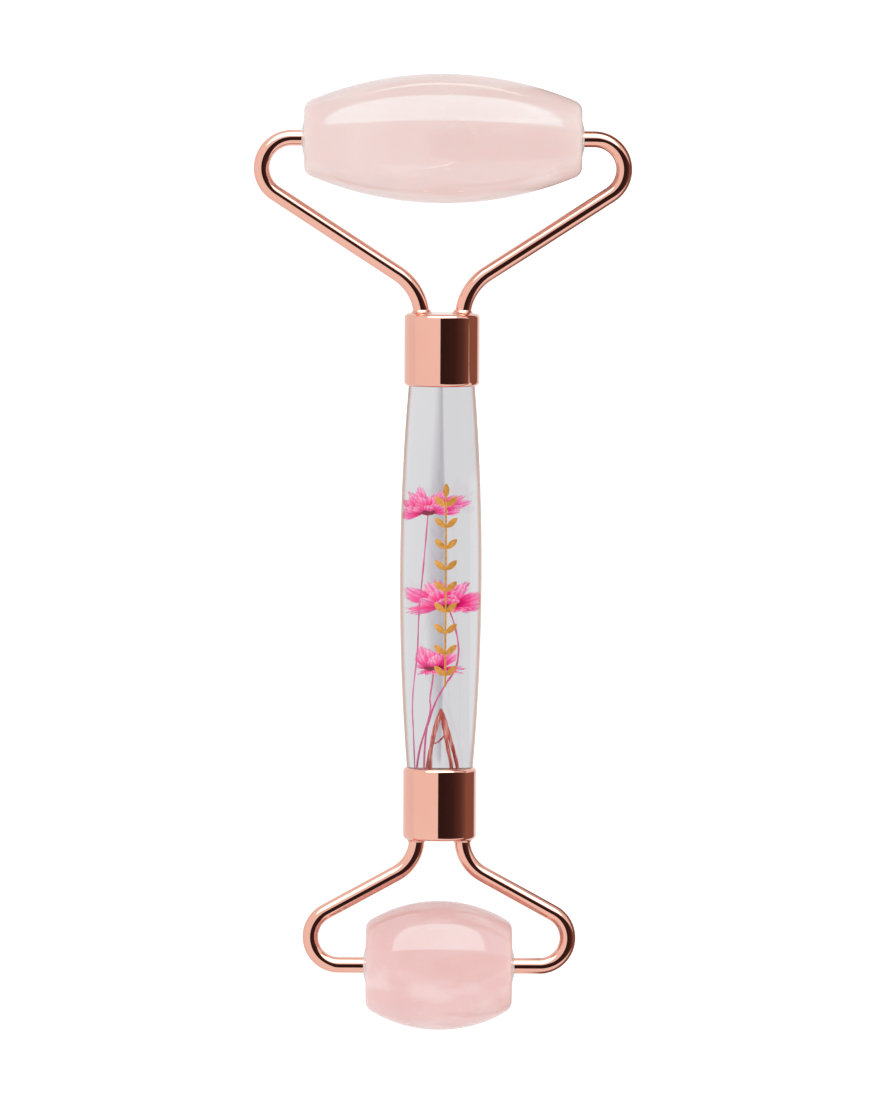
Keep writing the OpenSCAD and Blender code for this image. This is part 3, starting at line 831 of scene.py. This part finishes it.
def calyx(name, flower, node):
    """Small cup of overlapping scales under the petals."""
    place = at_head(flower)
    rng = random.Random(flower["seed"] + 50)
    cup = [(-0.15, 0.0), (-0.12, 0.28), (0.0, 0.55), (0.25, 0.86), (0.55, 0.95), (0.72, 0.8), (0.8, 0.45),
           (0.84, 0.0)]
    parts = [lathe(cup, (0, 0, 0), "Y", 28, False)]
    for ring, lift in enumerate((0.0, 0.22)):
        for i in range(11):
            t = 2 * math.pi * (i + 0.5 * ring) / 11
            tip = 0.62 + lift + rng.uniform(-0.06, 0.06)
            r0, r1 = 0.52 + 0.25 * ring, 1.02 + 0.03 * ring
            w = 0.27
            scale = []
            for along, r, half in ((lift - 0.05, r0, 0.5),
                                   (lift + 0.3, (r0 + r1) / 2 + 0.12, 1.0),
                                   (tip, r1, 0.15)):
                for s in (-1, 1):
                    a = t + s * half * w / max(r, 0.3)
                    scale.append((r * math.cos(a), along, r * math.sin(a)))
                    scale.append(((r - 0.12) * math.cos(a), along, (r - 0.12) * math.sin(a)))
            f = []
            for k in (0, 4):
                f += [(k, k + 2, k + 6, k + 4), (k + 1, k + 5, k + 7, k + 3),
                      (k, k + 4, k + 5, k + 1), (k + 2, k + 3, k + 7, k + 6)]
            f += [(0, 1, 3, 2), (8, 10, 11, 9)]
            parts.append((scale, f))
    verts, faces = merge(*parts)
    swap = Matrix.Rotation(math.radians(90), 4, "X")
    verts = [tuple(place @ swap @ Vector(v)) for v in verts]
    return build(name, verts, faces, MAT_CALYX, "frame", (node,))


def smooth_line(points, per_span):
    """Catmull-Rom curve through the points."""
    pts = [Vector(p) for p in points]
    pts = [2 * pts[0] - pts[1]] + pts + [2 * pts[-1] - pts[-2]]
    out = []
    for k in range(1, len(pts) - 2):
        p0, p1, p2, p3 = pts[k - 1:k + 3]
        for i in range(per_span):
            t = i / per_span
            out.append(0.5 * (2 * p1 + (p2 - p0) * t + (2 * p0 - 5 * p1 + 4 * p2 - p3) * t * t
                              + (3 * p1 - p0 - 3 * p2 + p3) * t ** 3))
    out.append(pts[-2])
    return out


def stem(name, line, node, seed, r):
    """A thin stem along a line of points, waving a little, with small knots in it."""
    rng = random.Random(seed)
    points = smooth_line([(x, y, AXIS_Z + z) for x, y, z in line], 22)
    phase = rng.uniform(0, 6.28)
    out, radii = [], []
    total = len(points) - 1
    for i, p in enumerate(points):
        t = i / total
        fade = min(1, 6 * t, 6 * (1 - t))
        out.append(p + fade * Vector((0.07 * math.sin(11 * t + phase), 0, 0.07 * math.cos(9 * t + phase))))
        knot = 0.04 * math.exp(-((t * 3.2 % 1 - 0.5) / 0.06) ** 2)
        radii.append(r * (0.8 + 0.35 * t) + knot * 0.5 + 0.012 * math.sin(60 * t + phase))
    verts, faces = tube(out, radii, 12)
    return build(name, verts, faces, MAT_STEM, "frame", (node,))


FOOT = BAR_FOOT_Y + 0.15
FLOWERS = {"top": TOP, "middle": MIDDLE, "low": LOW}
for word, flower in FLOWERS.items():
    petals(f"{word}_flower_petals", flower, f"{word}_petals")
for word, flower in FLOWERS.items():
    calyx(f"{word}_flower_calyx", flower, f"{word}_calyx")
stem("top_flower_stem", [
    (-1.42, 6.0, 0.9), (-1.88, -1.1, 1.3), (-2.67, -9.3, 1.9), (-2.94, -15.3, 2.1), (-3.45, -20.8, 2.2),
    (-3.6, -24.4, 2.25), (-3.62, -27.1, 2.3), (-3.35, FOOT, 2.3)], "top_stem", 5, 0.1)
stem("middle_flower_stem", [
    (0.85, -8.4, -0.2), (1.33, -10.7, -0.6), (1.62, -14.1, -1.0), (1.38, -17.3, -1.2), (0.65, -19.5, -1.2),
    (-0.26, -22.1, -1.2), (-0.9, -24.5, -1.15), (-1.91, -29.8, -1.1), (-2.35, FOOT, -1.1)],
     "middle_stem", 6, 0.09)
stem("low_flower_stem", [
    (-0.71, -17.9, 0.3), (-0.98, -21.8, 0.35), (-1.08, -23.5, 0.4), (-1.45, -27.6, 0.45),
    (-1.85, FOOT, 0.55)], "low_stem", 7, 0.1)


def folded_stalk():
    """A split brown stalk folded double at a pointed tip: four thin strands and a small barb."""
    tip = (0.11, -23.4, 1.4)
    strands = [
        ([tip, (-0.3, -25.6, 1.45), (-0.86, -28.4, 1.5), (-1.48, -32.6, 1.5), (-1.55, FOOT, 1.5)], 0.21),
        ([tip, (-0.5, -25.8, 1.3), (-0.95, -28.6, 1.25), (-1.07, -32.6, 1.25), (-1.1, FOOT, 1.25)], 0.18),
        ([tip, (0.36, -25.6, 1.4), (0.86, -29.0, 1.4), (1.37, -32.6, 1.4), (1.42, FOOT, 1.4)], 0.19),
        ([tip, (0.58, -25.4, 1.35), (1.35, -28.8, 1.35), (2.1, -32.6, 1.35), (2.18, FOOT, 1.35)], 0.21),
        ([(-0.72, -28.7, 1.45), (-0.12, -28.3, 1.5), (0.46, -27.5, 1.55)], 0.1),
    ]
    parts = []
    for k, (line, r) in enumerate(strands):
        points = smooth_line([(x, y, AXIS_Z + z) for x, y, z in line], 16)
        total = len(points) - 1
        radii = [r * (0.75 + 0.35 * min(1, 6 * i / total)) + 0.015 * math.sin(0.7 * i + k)
                 for i in range(total + 1)]
        parts.append(tube(points, radii, 12))
    verts, faces = merge(*parts)
    return build("folded_brown_stalk", verts, faces, MAT_STALK, "frame", ("folded_stalk",))


folded_stalk()


# ---------- gold leaf print ----------

def on_bar(x, y, lift):
    """A point of the print, drawn flat from above, set on the bar's upper surface."""
    r = bar_radius(y) + lift
    return (x, y, AXIS_Z + math.sqrt(r * r - x * x))


def patch(pairs):
    """A thin raised shape on the bar, between left and right points along its length."""
    verts, faces = [], []
    for (lx, ly), (rx, ry) in pairs:
        for lift in (0.004, 0.036):
            verts.append(on_bar(lx, ly, lift))
            verts.append(on_bar(rx, ry, lift))
    n = len(pairs)
    for i in range(n - 1):
        a, b = 4 * i, 4 * (i + 1)
        faces += [(a + 2, a + 3, b + 3, b + 2), (a, b, b + 1, a + 1),
                  (a, a + 2, b + 2, b), (a + 1, b + 1, b + 3, a + 3)]
    faces += [(0, 1, 3, 2), (4 * n - 4, 4 * n - 2, 4 * n - 1, 4 * n - 3)]
    return verts, faces


def leaf(x, y, angle, length=2.2, width=0.95):
    """A leaf between two arcs, pointed at both ends, its foot at (x, y)."""
    bend = (length ** 2 + width ** 2) / (4 * width)
    c, s = math.cos(angle), math.sin(angle)
    pairs = []
    for i in range(17):
        along = length * (0.02 + 0.96 * i / 16)
        w = math.sqrt(bend ** 2 - (along - length / 2) ** 2) - bend + width / 2
        px, py = x + c * along, y + s * along
        pairs.append(((px - s * w, py + c * w), (px + s * w, py - c * w)))
    return patch(pairs)


def leaf_print():
    """A sprig: a straight stalk, a leaf on its end and nine pairs of leaves beside it."""
    mid, top, step, gap, half = 0.75, 8.9, 3.2, 0.1, 0.15
    pairs, slices = 9, 60
    run = [top - pairs * step * i / slices for i in range(slices + 1)]
    parts = [patch([((mid - half, y), (mid + half, y)) for y in run])]
    parts.append(leaf(mid, top - 2 * gap, math.radians(90)))
    for k in range(pairs):
        y = top - (k + 0.5) * step
        for side in (-1, 1):
            angle = math.radians(90 - side * 48)
            parts.append(leaf(mid + gap * math.cos(angle), y + gap * math.sin(angle), angle))
    verts, faces = merge(*parts)
    return build("gold_leaf_sprig_print", verts, faces, MAT_GOLD, "frame",
                 ("gold_print",), smooth=False)


leaf_print()


# ---------- floor, light, camera ----------

# Places on the floor, in millimetres, of its painted reflections and painted shade. Each pair is a soft
# edge, from where the mark ends to where it is full. The bright band's bow is how far it bends away over 1
# mm to the side, growing as the square.
# painted dark reflection: a brown patch that only polished surfaces see
DARK_REFLECTION_EDGE_X = (13, 17)
DARK_REFLECTION_FROM_Y = ((10, 14), (-30, -34))
# painted bright reflection: a glowing bowed band that only polished surfaces see
BRIGHT_REFLECTION_Y, BRIGHT_REFLECTION_BOW, BRIGHT_REFLECTION_HALF, BRIGHT_REFLECTION_END_X = 101, 0.023, (5.5, 3), (32, 22)
# painted shadow: a dark line on the floor along the bar, seen only through the bar
SHADOW_LINE_MIDDLE_Y, SHADOW_LINE_END, SHADOW_LINE_X = -2.5, (30, 28), (-0.08, -0.02, 0.32)


def floor():
    """White light table, matt and glowing, so that its shadows are faint; it lights the roller less.
    Only polished surfaces see two painted reflections on it: a brown patch to the right of each ferrule and
    head, and a bright bowed band beyond the large stone. Through the bar it shows painted shade: grey, with
    a darker painted shadow line along the bar."""
    mesh = bpy.data.meshes.new("studio_floor")
    bm = bmesh.new()
    bmesh.ops.create_grid(bm, x_segments=8, y_segments=8, size=3.0)
    bm.to_mesh(mesh)
    bm.free()
    obj = bpy.data.objects.new("studio_floor", mesh)
    bpy.context.scene.collection.objects.link(obj)
    mat, nodes, links, bsdf = material("matte_white_floor")
    co = object_coords(nodes)
    grain = noise(nodes, links, co, 40, 3)
    tone = ramp(nodes, links, grain.outputs["Fac"], [(0.3, (0.55, 0.55, 0.55)), (0.7, (0.56, 0.56, 0.56))])
    links.new(tone.outputs["Color"], bsdf.inputs["Base Color"])
    bsdf.inputs["Roughness"].default_value = 0.9
    bsdf.inputs["Specular IOR Level"].default_value = 0.1
    bsdf.inputs["Emission Color"].default_value = (1, 1, 1, 1)
    light = nodes.new("ShaderNodeLightPath")
    glow = map_range(nodes, links, light.outputs["Is Diffuse Ray"], 0.0, 1.0, 0.72, 0.22)
    links.new(glow, bsdf.inputs["Emission Strength"])
    split = nodes.new("ShaderNodeSeparateXYZ")
    links.new(co, split.inputs[0])
    x, y, z = split.outputs

    def calc(op, a, b=None):
        return math_node(nodes, links, op, a, b)

    def between(value, edges):
        """Rises from 0 at the first edge to 1 at the second."""
        return map_range(nodes, links, value, edges[0] * MM, edges[1] * MM)

    # painted dark reflection: brown to the right of the ferrules and heads, for polished surfaces only
    by_head, by_tail = (between(y, edges) for edges in DARK_REFLECTION_FROM_Y)
    painted_dark_reflection = calc("MULTIPLY", between(x, DARK_REFLECTION_EDGE_X), calc("ADD", by_head, by_tail))
    # painted bright reflection: a glowing bowed band beyond the large stone, for polished surfaces only
    bow = calc("SUBTRACT", y, calc("MULTIPLY", calc("MULTIPLY", x, x), BRIGHT_REFLECTION_BOW / MM))
    across = calc("ABSOLUTE", calc("SUBTRACT", bow, BRIGHT_REFLECTION_Y * MM))
    painted_bright_reflection = calc("MULTIPLY", between(across, BRIGHT_REFLECTION_HALF), between(calc("ABSOLUTE", x), BRIGHT_REFLECTION_END_X))
    # painted shadow: a darker line on the floor along the bar, seen only through it
    along = calc("ABSOLUTE", calc("SUBTRACT", y, SHADOW_LINE_MIDDLE_Y * MM))
    left, dark, right = SHADOW_LINE_X
    fade = between(x, (right, dark))
    painted_shadow_line = calc("MULTIPLY", calc("MULTIPLY", between(x, (left, dark)), fade), between(along, SHADOW_LINE_END))
    table = mix_colour(nodes, links, painted_dark_reflection, (0.93, 0.93, 0.93), (0.26, 0.135, 0.1))
    table = mix_colour(nodes, links, painted_bright_reflection, table, (3.2, 3.0, 2.7))
    # painted shade: the floor seen through the bar is grey, darker still along the painted shadow line
    under = mix_colour(nodes, links, painted_shadow_line, (0.715, 0.71, 0.72), (0.5, 0.48, 0.52))
    through = light.outputs["Is Transmission Ray"]
    seen = nodes.new("ShaderNodeEmission")
    links.new(mix_colour(nodes, links, through, table, under), seen.inputs["Color"])
    mixer = nodes.new("ShaderNodeMixShader")
    links.new(light.outputs["Is Glossy Ray"], mixer.inputs[0])
    links.new(bsdf.outputs[0], mixer.inputs[1])
    links.new(seen.outputs[0], mixer.inputs[2])
    links.new(mixer.outputs[0], nodes["Material Output"].inputs["Surface"])
    mesh.materials.append(mat)


floor()


def studio_world():
    """A pale tent of light. Polished surfaces also see its bright panel, ahead, and its dark flag,
    above and to the right; angles are in degrees from straight up."""
    world = bpy.data.worlds.new("studio_tent")
    bpy.context.scene.world = world
    world.use_nodes = True
    nodes, links = world.node_tree.nodes, world.node_tree.links
    nodes.clear()
    out = nodes.new("ShaderNodeOutputWorld")
    back = nodes.new("ShaderNodeBackground")
    split = nodes.new("ShaderNodeSeparateXYZ")
    links.new(nodes.new("ShaderNodeTexCoord").outputs["Generated"], split.inputs[0])
    x, y, z = split.outputs

    def calc(op, a, b=None):
        return math_node(nodes, links, op, a, b)

    # a direction's angle from straight up, split into its share to the right and its share ahead
    tilt = calc("MULTIPLY", calc("ARCCOSINE", z), math.degrees(1))
    flat = calc("SQRT", calc("ADD", calc("MULTIPLY", x, x), calc("MULTIPLY", y, y)))
    flat = calc("MAXIMUM", flat, 0.0001)
    right = calc("MULTIPLY", tilt, calc("DIVIDE", x, flat))
    ahead = calc("MULTIPLY", tilt, calc("DIVIDE", y, flat))

    def oval(at_right, at_ahead, half_right, half_ahead, power, soft):
        """A rounded patch of sky: power 2 is an ellipse, more is squarer."""
        u = calc("ABSOLUTE", calc("DIVIDE", calc("SUBTRACT", right, at_right), half_right))
        v = calc("ABSOLUTE", calc("DIVIDE", calc("SUBTRACT", ahead, at_ahead), half_ahead))
        reach = calc("ADD", calc("POWER", u, power), calc("POWER", v, power))
        return map_range(nodes, links, reach, 1 - soft, 1 + soft, 1.0, 0.0)

    panel_shape = oval(at_right=0, at_ahead=41, half_right=42.5, half_ahead=44.5, power=3, soft=0.07)
    panel = calc("MULTIPLY", panel_shape, map_range(nodes, links, ahead, 32.5, 35.0))
    flag_shape = oval(at_right=40, at_ahead=-9, half_right=57, half_ahead=36, power=2, soft=0.06)
    brim = calc("ADD", right, calc("MULTIPLY", calc("MAXIMUM", ahead, 0.0), 0.15))
    flag = calc("MULTIPLY", flag_shape, map_range(nodes, links, brim, -6.0, -4.0))
    brown = ramp(nodes, links, calc("DIVIDE", right, 90.0), [
        (0.0, (0.03, 0.017, 0.016)),
        (0.45, (0.045, 0.022, 0.02)),
        (0.75, (0.1, 0.05, 0.042)),
        (1.0, (0.22, 0.11, 0.08)),
    ])
    colour = mix_colour(nodes, links, flag, (1.0, 1.0, 1.0), brown.outputs["Color"])
    colour = mix_colour(nodes, links, panel, colour, (4.2, 4.2, 4.2))
    light = nodes.new("ShaderNodeLightPath")
    mirror = calc("SUBTRACT", light.outputs["Is Glossy Ray"], light.outputs["Is Transmission Ray"])
    colour = mix_colour(nodes, links, mirror, (1.15, 1.15, 1.15), colour)
    links.new(colour, back.inputs["Color"])
    back.inputs["Strength"].default_value = 1.0
    links.new(back.outputs[0], out.inputs["Surface"])


studio_world()


def camera():
    """Long lens above the roller, leaning a little towards the large stone."""
    data = bpy.data.cameras.new("photo_camera")
    cam = bpy.data.objects.new("photo_camera", data)
    bpy.context.scene.collection.objects.link(cam)
    bpy.context.scene.camera = cam
    lean, roll = math.radians(3.5), math.radians(0.3)
    frame_height = 166.5 * MM
    distance = 1.8
    aim = Vector((-0.14, 0.43, AXIS_Z)) * MM
    direction = Vector((0, math.sin(lean), math.cos(lean)))
    cam.location = aim + distance * direction
    cam.rotation_euler = (Matrix.Rotation(-lean, 3, "X") @ Matrix.Rotation(roll, 3, "Z")).to_euler()
    data.sensor_fit = "VERTICAL"
    data.sensor_height = 24.0
    data.lens = data.sensor_height * distance / frame_height
    data.clip_start, data.clip_end = 0.05, 20.0


camera()

scene = bpy.context.scene
scene.view_settings.view_transform = "Standard"
scene.view_settings.look = "None"
scene.view_settings.exposure = 0.0
